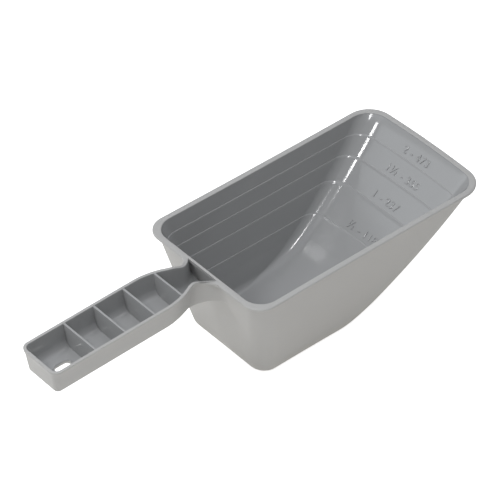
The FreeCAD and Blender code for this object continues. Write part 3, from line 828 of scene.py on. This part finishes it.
# ---------------------------------------------------------------- handle
@dataclass
class Handle:
    """Hollow handle: tray, neck, bead, cross ribs and hang slot."""

    sizes: HandleSizes
    bucket: BucketSizes
    shift: float
    fillet: float = 8.0
    foot_r: float = 1.1
    edge_round: float = 0.45
    inner_fillet: float = 0.8
    bead_gap: float = 0.12
    bead_profile: tuple[Point, ...] = ((-0.03, 0.25), (0.03, 0.75), (0.14, 0.95), (0.30, 1.0))
    round_steps: int = 5
    wall_steps: int = 5
    inner_steps: int = 6
    floor_steps: int = 7

    def tip(self, x: float, y: float, depth: float) -> Point3:
        """Turns a place in the handle's own level frame into the scoop's frame."""
        turn = math.radians(self.sizes.fall)
        return (x * math.cos(turn) - depth * math.sin(turn), y,
                self.bucket.height + self.sizes.rise + x * math.sin(turn) + depth * math.cos(turn))

    def wall_x(self, depth: float) -> float:
        """Where the bucket's back wall stands at a depth, in the handle's frame."""
        b = self.bucket
        lean = b.back_setback / b.height
        z = b.height + self.sizes.rise + depth
        x = (b.height - z) * lean - b.wall / math.cos(math.atan(lean))
        return x + depth * math.sin(math.radians(self.sizes.fall))

    def lip_x(self, _depth: float) -> float:
        """Where the rim flange's back edge stands, the same at every depth."""
        return -self.bucket.lip_width - self.sizes.rise * math.sin(math.radians(self.sizes.fall))

    def drop(self, x: float, ends: tuple[float, float]) -> float:
        """0 along the tray, 1 at the bucket, with a soft turn between two places."""
        share = min(max((x + ends[0]) / (ends[0] - ends[1]), 0.0), 1.0)
        low, high = 0.0, 1.0
        for _ in range(24):
            t = (low + high) / 2
            if 1.5 * t * (1 - t) ** 2 + 1.5 * t * t * (1 - t) + t ** 3 < share:
                low = t
            else:
                high = t
        return 3 * t * t * (1 - t) + t ** 3

    def line_offset(self, x: float, level: float) -> float:
        """Depth, in the handle's frame, of a level plane at a height below the rim."""
        return -level - self.sizes.rise - x * math.sin(math.radians(self.sizes.fall))

    def top(self, x: float) -> float:
        """Depth of the handle's top edge."""
        return lerp(0.0, self.line_offset(x, 0.04), self.drop(x, self.sizes.top_drop))

    def under(self, x: float) -> float:
        """Depth of the handle's underside."""
        depth = self.sizes.depth
        return lerp(-depth, self.line_offset(x, depth), self.drop(x, self.sizes.under_drop))

    def draft_at(self, depth: float) -> float:
        """How far the sides are drawn in at a depth."""
        return -self.sizes.draft * depth / self.sizes.depth

    def half_outline(self, inset: float, wall_x: float, fillet: float) -> list[Point]:
        """Left half of the plan outline, from inside the bucket's wall to the end.

        Args:
            inset: Distance inward from the outline at the top edge.
            wall_x: The face that the flare runs into.
            fillet: Radius that blends the flare into that face.

        Returns:
            The points, always the same number of them.
        """
        s = self.sizes
        half, end = s.width / 2 - inset, -s.length + inset
        flare_c = (-s.waist_back, s.waist_width / 2 + s.flare_r)
        flare_r, shoulder_r = s.flare_r + inset, s.shoulder_r - inset
        shoulder_y = s.width / 2 - s.shoulder_r
        run = math.sqrt((s.shoulder_r + s.flare_r) ** 2 - (flare_c[1] - shoulder_y) ** 2)
        shoulder_c = (flare_c[0] - run, shoulder_y)
        fx = wall_x - fillet
        reach = max((flare_r - fillet) ** 2 - (fx - flare_c[0]) ** 2, 0.0)
        fillet_c = (fx, flare_c[1] - math.sqrt(reach))
        turn = math.atan2(fillet_c[1] - flare_c[1], fillet_c[0] - flare_c[0])
        turn_meet = math.atan2(shoulder_c[1] - flare_c[1], shoulder_c[0] - flare_c[0])
        points = [(wall_x + 0.9, fillet_c[1])]
        points += arc_points(fillet_c, fillet, 0.0, turn, 8)
        points += arc_points(flare_c, flare_r, turn, turn_meet, 14)[1:]
        points += arc_points(shoulder_c, shoulder_r, turn_meet + math.pi, math.pi / 2, 14)[1:]
        corner = max(s.end_corner_r - inset, 0.7)
        stop = end + corner
        points += [(lerp(shoulder_c[0], stop, i / 18), half) for i in range(1, 18)]
        points += arc_points((stop, half - corner), corner, math.pi / 2, math.pi, 10)
        return points

    def ring(self, level: Line, extra: float, wall_at: Line, fillet: float) -> Ring:
        """One row round the handle at a level that may vary along it.

        Args:
            level: Depth as a function of x.
            extra: Inset beyond the sides' own draft.
            wall_at: The bucket face that the row runs into, as a function of depth.
            fillet: Radius that blends the row into that face.

        Returns:
            Left side from the bucket to the end, then back up the right side.
        """
        typical = level(-self.sizes.length / 2)
        first = self.half_outline(extra + self.draft_at(typical), wall_at(typical), fillet)
        half = []
        for i, (x, _) in enumerate(first):
            depth = level(x)
            exact = self.half_outline(extra + self.draft_at(depth), wall_at(depth), fillet)[i]
            half.append((exact[0], exact[1], depth))
        left = [self.tip(*p) for p in half]
        right = [self.tip(x, -y, d) for x, y, d in reversed(half)]
        return left + right

    def outer_rings(self) -> list[Ring]:
        """Rings from the underside up the outside and over the bead to the top edge."""
        s, r, e, steps = self.sizes, self.foot_r, self.edge_round, self.wall_steps
        rings = [self.ring(raised(self.under, r * bend), r * left, self.wall_x, self.fillet)
                 for bend, left in quarter_turn(self.round_steps)]
        low = raised(self.under, r)
        high = raised(self.top, -s.bead_height - self.bead_gap)
        rings += [self.ring(between(low, high, i / steps), 0.0, self.wall_x, self.fillet)
                  for i in range(1, steps + 1)]
        rings += [self.ring(raised(self.top, self.bead_gap - s.bead_height + rise), -s.bead_out * out,
                            self.lip_x, self.fillet) for rise, out in self.bead_profile]
        rings += [self.ring(raised(self.top, -e * left), e * bend - s.bead_out, self.lip_x, self.fillet)
                  for bend, left in quarter_turn(self.round_steps)]
        return rings

    def inner_rings(self) -> list[Ring]:
        """Rings from the top edge down the inside to the tray's floor."""
        s, e, steps, face = self.sizes, self.edge_round, self.inner_steps, self.wall_x
        floor, brow = raised(self.under, s.wall), raised(self.top, -e)
        floor_r = min(s.edge_r, s.waist_width / 2 - s.wall - s.draft - 1.0)
        rows = [(raised(self.top, -e * bend), s.wall - e * left)
                for bend, left in quarter_turn(self.round_steps)]
        rows += [(between(brow, raised(floor, floor_r), i / steps), s.wall) for i in range(1, steps + 1)]
        rows += [(raised(floor, floor_r * left), s.wall + floor_r * bend)
                 for bend, left in quarter_turn(self.floor_steps, 1)]
        return [self.ring(level, extra, face, self.inner_fillet) for level, extra in rows]

    def shell(self) -> bpy.types.Object:
        """The tray and neck as one closed skin, with its bead and hang slot.

        Returns:
            The handle shell.
        """
        skin = Skin(self.shift)
        rings = self.outer_rings()
        brow = len(rings)
        rings += self.inner_rings()
        rows = [skin.row(ring) for ring in rings]
        below = self.close_ladder(skin, rows[0], rings[0], True)
        # Past the brow the faces take the inner finish, whose darker, cooler colour is painted shade.
        polished_and_painted_shade = brow + self.round_steps // 2
        for number, (a, b) in enumerate(zip(rows, rows[1:])):
            skin.side = INNER_FACE if number >= polished_and_painted_shade else OUTER_FACE
            skin.bridge(b, a, closed=False)
        inside = self.close_ladder(skin, rows[-1], rings[-1], False)
        for end in (0, -1):
            skin.strip([row[end] for row in rows[:brow]], [row[end] for row in reversed(rows[brow:])])
        skin.strip(below, inside)
        return self.cut_slot(skin.build("handle_shell"))

    def close_ladder(self, skin: Skin, row: Sequence[int], ring: Ring, flip: bool) -> list[int]:
        """Closes a floor between the left and right halves of a row.

        Args:
            skin: The mesh in the making.
            row: The row's corner numbers.
            ring: The row's places.
            flip: Whether the floor faces down.

        Returns:
            The floor's corners at the root, from left to right.
        """
        count = len(ring) // 2
        reach = count - 1
        columns = [list(row[:reach])]
        for share in (0.25, 0.5, 0.75):
            columns.append(skin.row([tuple(lerp(p, q, share) for p, q in zip(ring[i], ring[-1 - i]))
                                     for i in range(reach)]))
        columns.append(list(reversed(row[count + 1:])))
        for a, b in zip(columns, columns[1:]):
            if flip:
                a, b = b, a
            skin.bridge(a, b, closed=False)
        skin.strip([column[-1] for column in columns], [row[reach], row[count]])
        return [column[0] for column in columns]

    def slot_centre(self) -> float:
        """Where the hang slot's middle lies along the handle."""
        return -self.sizes.length + self.sizes.slot_from_end

    def slot_outline(self, grow: float, steps: int = 14) -> list[Point]:
        """The hang slot's outline in plan, grown by a distance."""
        s = self.sizes
        radius = s.slot_width / 2 + grow
        reach = s.slot_length / 2 - s.slot_width / 2
        x = self.slot_centre()
        return (arc_points((x + reach, 0.0), radius, -math.pi / 2, math.pi / 2, steps)
                + arc_points((x - reach, 0.0), radius, math.pi / 2, 3 * math.pi / 2, steps))

    def cut_slot(self, shell: bpy.types.Object) -> bpy.types.Object:
        """Cuts the hang slot through the tray's floor."""
        s = self.sizes
        tool = Skin(self.shift)
        outline = self.slot_outline(0.0)
        low = tool.row([self.tip(x, y, -s.depth - 2.0) for x, y in outline])
        high = tool.row([self.tip(x, y, -s.depth + s.wall + 2.0) for x, y in outline])
        tool.bridge(low, high)
        x = self.slot_centre()
        tool.cap(low, self.tip(x, 0.0, -s.depth - 2.0), False)
        tool.cap(high, self.tip(x, 0.0, -s.depth + s.wall + 2.0), True)
        cutter = tool.build("slot_cutter")
        cut = shell.modifiers.new("slot", "BOOLEAN")
        cut.operation = "DIFFERENCE"
        cut.solver = "EXACT"
        cut.object = cutter
        done = bake_modifiers(shell, "handle_shell")
        bpy.data.objects.remove(cutter)
        return done

    def seat(self, piece: bpy.types.Object, depth: float, x: float = 0.0) -> bpy.types.Object:
        """Moves a finished mesh from the handle's level frame into its place."""
        turn = math.radians(self.sizes.fall)
        lift = self.bucket.height + self.sizes.rise
        place = (Matrix.Translation((self.shift * MM, 0.0, lift * MM)) @ Matrix.Rotation(-turn, 4, "Y")
                 @ Matrix.Translation((x * MM, 0.0, depth * MM)))
        piece.data.transform(place)
        tidy = bmesh.new()
        tidy.from_mesh(piece.data)
        bmesh.ops.recalc_face_normals(tidy, faces=tidy.faces)
        tidy.to_mesh(piece.data)
        tidy.free()
        return piece

    def side_at(self, x: float, depth: float) -> float:
        """Half the tray's inner width at a place along the handle."""
        outline = self.half_outline(self.sizes.wall + self.draft_at(depth), self.wall_x(depth), 0.8)
        near = sorted(outline[1:], key=lambda p: abs(p[0] - x))[:2]
        (xa, ya), (xb, yb) = near
        return ya + (yb - ya) * (x - xa) / (xb - xa) if abs(xb - xa) > 1e-6 else ya

    def ribs(self, finish: bpy.types.Material) -> bpy.types.Object:
        """The row of cross ribs, from a geometry tree."""
        s, sink = self.sizes, 0.35
        floor = s.depth - s.wall
        height = floor - s.rib_drop + sink
        last = -s.rib_first - s.rib_pitch
        top, foot = self.side_at(last, -s.rib_drop) + sink, self.side_at(last, -floor) + sink
        neck = (self.side_at(-s.rib_first, -s.rib_drop) + sink) / top
        values = {"First": s.rib_first * MM, "Pitch": s.rib_pitch * MM, "Thickness": s.rib_thick * MM,
                  "Top Width": 2 * top * MM, "Foot Width": 2 * foot * MM, "Height": height * MM,
                  "Corner": (s.edge_r + sink) * MM * 0.8, "First Width": neck,
                  "Count": s.rib_count, "Finish": finish}
        piece = grow(rib_tree(), "handle_ribs", values)
        return self.seat(self.soften(piece), -s.rib_drop)

    def soften(self, piece: bpy.types.Object) -> bpy.types.Object:
        """Rounds the ribs' top edges with a narrow bevel."""
        draft = bmesh.new()
        draft.from_mesh(piece.data)
        high = max(v.co.z for v in draft.verts)
        edges = [e for e in draft.edges if abs(e.verts[0].co.y - e.verts[1].co.y) > 0.004
                 and min(v.co.z for v in e.verts) > high - 0.0002]
        bmesh.ops.bevel(draft, geom=edges, offset=0.00032, segments=3, profile=0.5, affect="EDGES")
        bmesh.ops.triangulate(draft, faces=[f for f in draft.faces if len(f.verts) > 4])
        draft.to_mesh(piece.data)
        draft.free()
        shade(piece.data, 35.0)
        return piece

    def slot_edge(self, finish: bpy.types.Material) -> bpy.types.Object:
        """The raised edge round the hang slot, from a geometry tree."""
        s = self.sizes
        values = {"Length": s.slot_length * MM, "Width": s.slot_width * MM, "Finish": finish,
                  "Edge Width": s.slot_rim_width * MM, "Edge Height": s.slot_rim_height * MM}
        piece = grow(slot_edge_tree(), "hang_slot_edge", values, 60.0)
        return self.seat(piece, s.wall - s.depth, self.slot_centre())


# ---------------------------------------------------------------- repeated and swept pieces
def socket_id(tree: bpy.types.NodeTree, name: str) -> str:
    """A tree input's identifier, from its name."""
    return next(i.identifier for i in tree.interface.items_tree if i.name == name and i.in_out == "INPUT")


@dataclass
class TreeDraft:
    """A geometry tree in the making, with named inputs."""

    name: str
    tree: bpy.types.NodeTree = field(init=False)
    source: bpy.types.Node = field(init=False)
    sink: bpy.types.Node = field(init=False)

    def __post_init__(self) -> None:
        """Makes the tree with its geometry output."""
        self.tree = bpy.data.node_groups.new(self.name, "GeometryNodeTree")
        self.tree.interface.new_socket("Geometry", in_out="OUTPUT", socket_type="NodeSocketGeometry")
        self.source = self.tree.nodes.new("NodeGroupInput")
        self.sink = self.tree.nodes.new("NodeGroupOutput")

    def value(self, name: str, kind: str = "NodeSocketFloat") -> str:
        """Adds a named input and returns its name."""
        self.tree.interface.new_socket(name, in_out="INPUT", socket_type=kind)
        return name

    def node(self, kind: str, settings: dict[str, object] | None = None, **feeds: object) -> bpy.types.Node:
        """Adds a node.

        Args:
            kind: The node's Blender type.
            settings: Properties set on the node.
            **feeds: Socket name with underscores for spaces, or i and its number, to a
                value or an output socket.

        Returns:
            The node.
        """
        made = self.tree.nodes.new(kind)
        for key, value in (settings or {}).items():
            setattr(made, key, value)
        for key, value in feeds.items():
            by_number = key[0] == "i" and key[1:].isdigit()
            socket = made.inputs[int(key[1:]) if by_number else key.replace("_", " ")]
            if isinstance(value, bpy.types.NodeSocket):
                self.tree.links.new(value, socket)
            else:
                socket.default_value = value
        return made

    def size(self, name: str) -> bpy.types.NodeSocket:
        """The output socket of a named input."""
        return self.source.outputs[name]

    def sum(self, operation: str, a: object, b: object) -> bpy.types.NodeSocket:
        """A maths node's result."""
        return self.node("ShaderNodeMath", {"operation": operation}, i0=a, i1=b).outputs[0]

    def vector(self, x: object, y: object, z: object) -> bpy.types.NodeSocket:
        """A vector made of three sockets or numbers."""
        return self.node("ShaderNodeCombineXYZ", i0=x, i1=y, i2=z).outputs[0]

    def end(self, geometry: bpy.types.NodeSocket) -> None:
        """Ends the tree: instances made real, then the material."""
        real = self.node("GeometryNodeRealizeInstances", i0=geometry)
        paint = self.node("GeometryNodeSetMaterial", i0=real.outputs[0], Material=self.size("Finish"))
        self.tree.links.new(paint.outputs[0], self.sink.inputs[0])


def grow(tree: TreeDraft, name: str, values: dict[str, object], angle: float = 30.0) -> bpy.types.Object:
    """Runs a geometry tree on an empty mesh and keeps the result as a plain piece.

    Args:
        tree: The finished tree.
        name: The piece's name.
        values: Input name to value.
        angle: Edges sharper than this, in degrees, stay crisp.

    Returns:
        The piece.
    """
    host = bpy.data.objects.new(name + "_host", bpy.data.meshes.new(name + "_host"))
    bpy.context.scene.collection.objects.link(host)
    grown = host.modifiers.new("grow", "NODES")
    grown.node_group = tree.tree
    for key, value in values.items():
        grown[socket_id(tree.tree, key)] = value
    return bake_modifiers(host, name, angle)


def rounded(draft: TreeDraft, curve: bpy.types.NodeSocket, radius: object,
            count: int) -> bpy.types.NodeSocket:
    """Rounds a curve's corners with straight-sided arcs; returns the curve."""
    settings = {"mode": "POLY"}
    return draft.node("GeometryNodeFilletCurve", settings, Curve=curve, Radius=radius, Count=count).outputs[0]


def rib_tree() -> TreeDraft:
    """Tree for the handle's row of cross ribs.

    Each rib is a plate with a soft top edge and two rounded lower corners. The
    one nearest the bucket is narrower, as the tray is there.

    Returns:
        A tree with the ribs' sizes as inputs.
    """
    draft = TreeDraft("cross_ribs")
    for name in ("First", "Pitch", "Thickness", "Top Width", "Foot Width", "Height", "Corner", "First Width"):
        draft.value(name)
    draft.value("Count", "NodeSocketInt")
    draft.value("Finish", "NodeSocketMaterial")
    size = draft.size
    outline = draft.node("GeometryNodeCurvePrimitiveQuadrilateral", {"mode": "TRAPEZOID"},
                         Height=size("Height"), Bottom_Width=size("Foot Width"),
                         Top_Width=size("Top Width"), Offset=0.0)
    place = draft.node("ShaderNodeSeparateXYZ", i0=draft.node("GeometryNodeInputPosition").outputs[0])
    at_foot = draft.node("FunctionNodeCompare", {"data_type": "FLOAT", "operation": "LESS_THAN"},
                         i0=place.outputs["Y"], i1=0.0)
    corner = draft.sum("MULTIPLY", at_foot.outputs[0], size("Corner"))
    soft = rounded(draft, outline.outputs[0], corner, 7)
    face = draft.node("GeometryNodeFillCurve", {"mode": "NGONS"}, Curve=soft)
    body = draft.node("GeometryNodeExtrudeMesh", {"mode": "FACES"}, Mesh=face.outputs[0],
                      Offset_Scale=size("Thickness"), Individual=False)
    back = draft.node("GeometryNodeFlipFaces", i0=face.outputs[0])
    plate = draft.node("GeometryNodeJoinGeometry")
    draft.tree.links.new(body.outputs[0], plate.inputs[0])
    draft.tree.links.new(back.outputs[0], plate.inputs[0])
    whole = draft.node("GeometryNodeMergeByDistance", i0=plate.outputs[0], Distance=0.00001)
    back_by = draft.sum("MULTIPLY", size("Thickness"), -0.5)
    down_by = draft.sum("MULTIPLY", size("Height"), -0.5)
    upright = draft.node("GeometryNodeTransform", Geometry=whole.outputs[0],
                         Translation=draft.vector(back_by, 0.0, down_by),
                         Rotation=(math.pi / 2, 0.0, math.pi / 2))
    step = draft.vector(draft.sum("MULTIPLY", size("Pitch"), -1.0), 0.0, 0.0)
    begin = draft.vector(draft.sum("MULTIPLY", size("First"), -1.0), 0.0, 0.0)
    line = draft.node("GeometryNodeMeshLine", {"mode": "OFFSET", "count_mode": "TOTAL"},
                      Count=size("Count"), Start_Location=begin, Offset=step)
    is_first = draft.node("FunctionNodeCompare", {"data_type": "INT", "operation": "EQUAL"},
                          i2=draft.node("GeometryNodeInputIndex").outputs[0], i3=0)
    narrower = draft.sum("SUBTRACT", 1.0, size("First Width"))
    less = draft.sum("MULTIPLY", is_first.outputs[0], narrower)
    spread = draft.vector(1.0, draft.sum("SUBTRACT", 1.0, less), 1.0)
    placed = draft.node("GeometryNodeInstanceOnPoints", Points=line.outputs[0],
                        Instance=upright.outputs[0], Scale=spread)
    draft.end(placed.outputs[0])
    return draft


def slot_edge_tree() -> TreeDraft:
    """Tree that sweeps a small rounded edge round the hang slot.

    Returns:
        A tree with the slot's and the edge's sizes as inputs.
    """
    draft = TreeDraft("slot_edge")
    for name in ("Length", "Width", "Edge Width", "Edge Height"):
        draft.value(name)
    draft.value("Finish", "NodeSocketMaterial")
    size = draft.size
    grown_length = draft.sum("ADD", size("Length"), size("Edge Width"))
    grown_width = draft.sum("ADD", size("Width"), size("Edge Width"))
    box = draft.node("GeometryNodeCurvePrimitiveQuadrilateral", {"mode": "RECTANGLE"},
                     Width=grown_length, Height=grown_width)
    path = rounded(draft, box.outputs[0], draft.sum("MULTIPLY", grown_width, 0.4999), 14)
    ring = draft.node("GeometryNodeCurvePrimitiveCircle", {"mode": "RADIUS"}, Resolution=16, Radius=0.5)
    oval = draft.vector(size("Edge Width"), draft.sum("MULTIPLY", size("Edge Height"), 2.0), 1.0)
    profile = draft.node("GeometryNodeTransform", Geometry=ring.outputs[0], Scale=oval)
    sweep = draft.node("GeometryNodeCurveToMesh", Curve=path, Profile_Curve=profile.outputs[0])
    draft.end(sweep.outputs[0])
    return draft


# ---------------------------------------------------------------- studio
@dataclass(frozen=True)
class StudioLight:
    """A soft panel aimed at a point, in metres."""

    name: str
    at: Point3
    aim: Point3
    size: tuple[float, float]
    power: float
    colour: Point3 = (1.0, 1.0, 1.0)

    def hang(self) -> bpy.types.Object:
        """Makes the light."""
        lamp = bpy.data.lights.new(self.name, "AREA")
        lamp.shape = "RECTANGLE"
        lamp.size, lamp.size_y = self.size
        lamp.energy = self.power
        lamp.color = self.colour
        thing = bpy.data.objects.new(self.name, lamp)
        thing.location = self.at
        thing.rotation_mode = "QUATERNION"
        thing.rotation_quaternion = (Vector(self.aim) - Vector(self.at)).to_track_quat("-Z", "Y")
        bpy.context.scene.collection.objects.link(thing)
        return thing


@dataclass(frozen=True)
class StudioCamera:
    """A long lens that looks down past the handle into the bucket."""

    azimuth: float = -40.27
    elevation: float = 41.06
    roll: float = -0.4
    distance: float = 1.86008
    lens: float = 235.59
    target: Point3 = (0.01613, 0.01114, 0.05175)

    def place(self) -> bpy.types.Object:
        """Makes the camera and hands it to the scene."""
        a, e, turn = (math.radians(v) for v in (self.azimuth, self.elevation, self.roll))
        back = Vector((math.sin(a) * math.cos(e), -math.cos(a) * math.cos(e), math.sin(e)))
        right = (-back).cross(Vector((0.0, 0.0, 1.0))).normalized()
        up = right.cross(-back)
        side = right * math.cos(turn) + up * math.sin(turn)
        head = up * math.cos(turn) - right * math.sin(turn)
        where = Vector(self.target) + back * self.distance
        lens = bpy.data.cameras.new("studio_camera")
        lens.lens, lens.sensor_width = self.lens, 36.0
        lens.clip_start, lens.clip_end = 0.1, 20.0
        thing = bpy.data.objects.new("studio_camera", lens)
        thing.matrix_world = Matrix((
            (side.x, head.x, back.x, where.x), (side.y, head.y, back.y, where.y),
            (side.z, head.z, back.z, where.z), (0.0, 0.0, 0.0, 1.0)))
        bpy.context.scene.collection.objects.link(thing)
        bpy.context.scene.camera = thing
        return thing


@dataclass
class Studio:
    """Pale floor, soft surround and panels."""

    surround: float = 0.275
    bounce: Point3 = (0.300, 0.282, 0.248)
    backdrop: Point3 = (0.8, 0.8, 0.8)
    floor_colour: Point3 = (0.88, 0.88, 0.88)
    floor_reach: float = 6.0
    floor_level: float = -0.0002

    def build(self) -> None:
        """Makes the floor, the surround and the lights."""
        self.lay_floor()
        world = bpy.data.worlds.new("studio")
        world.use_nodes = True
        sky = world.node_tree.nodes["Background"]
        sky.inputs["Color"].default_value = (1.0, 1.0, 1.0, 1.0)
        sky.inputs["Strength"].default_value = self.surround
        bpy.context.scene.world = world
        bpy.context.scene.view_settings.view_transform = "Standard"
        self.hang_panels()

    def lay_floor(self) -> None:
        """Makes the pale floor, which glows a little warm and looks white."""
        r, level = self.floor_reach, self.floor_level
        mesh = bpy.data.meshes.new("studio_floor")
        mesh.from_pydata([(-r, -r, level), (r, -r, level), (r, r, level), (-r, r, level)], [], [(0, 1, 2, 3)])
        floor = bpy.data.objects.new("studio_floor", mesh)
        bpy.context.scene.collection.objects.link(floor)
        paint = bpy.data.materials.new("pale_floor")
        paint.use_nodes = True
        tree = paint.node_tree
        shader = tree.nodes["Principled BSDF"]
        shader.inputs["Base Color"].default_value = (*self.floor_colour, 1.0)
        shader.inputs["Roughness"].default_value = 0.9
        shader.inputs["Specular IOR Level"].default_value = 0.1
        shader.inputs["Emission Strength"].default_value = 1.0
        path = tree.nodes.new("ShaderNodeLightPath")
        glow = tree.nodes.new("ShaderNodeMix")
        glow.data_type = "RGBA"
        glow.inputs["A"].default_value = (*self.bounce, 1.0)
        glow.inputs["B"].default_value = (*self.backdrop, 1.0)
        tree.links.new(path.outputs["Is Camera Ray"], glow.inputs["Factor"])
        tree.links.new(glow.outputs["Result"], shader.inputs["Emission Color"])
        floor.data.materials.append(paint)

    def hang_panels(self) -> None:
        """Hangs the soft panels: three broad ones and two that streak the inside corner."""
        centre = (0.0, 0.0, 0.03)
        for panel in (
            StudioLight("overhead_panel", (0.0, 0.0, 1.7), centre, (2.2, 2.2), 12.0, (0.97, 0.99, 1.04)),
            StudioLight("back_panel", (-0.9, 1.6, 1.1), centre, (1.2, 0.9), 5.1, (0.96, 1.0, 1.04)),
            StudioLight("rim_panel", (0.92, 1.10, 1.25), centre, (1.1, 0.8), 1.5),
            StudioLight("edge_panel", (-0.62, 0.26, 0.80), (0.11, 0.035, 0.05), (0.17, 0.14), 2.2),
            StudioLight("corner_panel", (-0.31, -0.26, 0.90), (0.08, 0.033, 0.02), (0.1, 0.24), 1.7),
        ):
            panel.hang()


# ---------------------------------------------------------------- the scoop
@dataclass
class FeedScoop:
    """The whole moulding."""

    bucket_sizes: BucketSizes = field(default_factory=BucketSizes)
    handle_sizes: HandleSizes = field(default_factory=HandleSizes)
    figures: Figures = Figures()
    texts: tuple[str, ...] = ("½ - 118", "1 - 237", "1½ - 355", "2 - 473")
    textured: PlasticFinish = PlasticFinish("plastic_textured", Tone.OUTSIDE, 0.38, 0.5, 0.00003)
    # The inner finish is truly glossier, and its darker, cooler colour is painted shade.
    polished_and_painted_shade: PlasticFinish = PlasticFinish("plastic_polished_painted_shade", Tone.INSIDE, 0.11, 0.02, 0.000006)

    def shift(self) -> float:
        """Drawn x to scoop-frame x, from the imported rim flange's own place."""
        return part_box("rim_flange")[1][0] / MM - self.bucket_sizes.rim_length - self.bucket_sizes.lip_width

    def settle(self, piece: bpy.types.Object, finishes: Sequence[bpy.types.Material],
               *nodes: str) -> None:
        """Paints a piece, lets it ride and says which solids it stands for."""
        slots = piece.data.materials
        while len(slots) > len(finishes):
            slots.pop()
        for number, finish in enumerate(finishes):
            if number < len(slots):
                slots[number] = finish
            else:
                slots.append(finish)
        if len(finishes) == 1:
            piece.data.polygons.foreach_set("material_index", [0] * len(piece.data.polygons))
        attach(piece, ROOT)
        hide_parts(*nodes)
        LOG.info("%s: %d faces, stands for %s", piece.name, len(piece.data.polygons), ", ".join(nodes))

    def build(self) -> None:
        """Builds every piece of the scoop."""
        skin, scuffs = moulded_skin_group(), scuff_group()
        outer = self.textured.material(skin, scuffs)
        # The inner finish, with its painted-shade colour, goes on the inside faces, ledges, figures, ribs and
        # slot edge.
        inner = self.polished_and_painted_shade.material(skin, scuffs)
        shift = self.shift()
        bucket = Bucket(self.bucket_sizes, shift)
        self.settle(bucket.shell(), (outer, inner), "bucket_floor", "bucket_left_wall", "bucket_right_wall",
                    "bucket_back_wall", "bucket_front_slope", "rim_flange")
        for number, text in enumerate(self.texts):
            self.settle(bucket.ledge_band(number), (inner,), "graduation_%d" % (number + 1))
            self.settle(bucket.figure_row(number, self.figures, text), (inner,), "figures_%d" % (number + 1))
        handle = Handle(self.handle_sizes, self.bucket_sizes, shift)
        self.settle(handle.shell(), (outer, inner), "handle_floor", "handle_left_wall", "handle_right_wall",
                    "handle_end_wall", "handle_bead", "neck_floor", "neck_left_wall", "neck_right_wall")
        self.settle(handle.ribs(inner), (inner,), *("handle_rib_%d" % n for n in range(1, 5)))
        self.settle(handle.slot_edge(inner), (inner,), "hang_slot_rim")


def main() -> None:
    """Builds the scoop and its studio."""
    logging.basicConfig(level=logging.INFO, format="%(name)s %(message)s")
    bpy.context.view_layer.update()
    FeedScoop().build()
    Studio().build()
    StudioCamera().place()


if __name__ == "__main__":
    main()
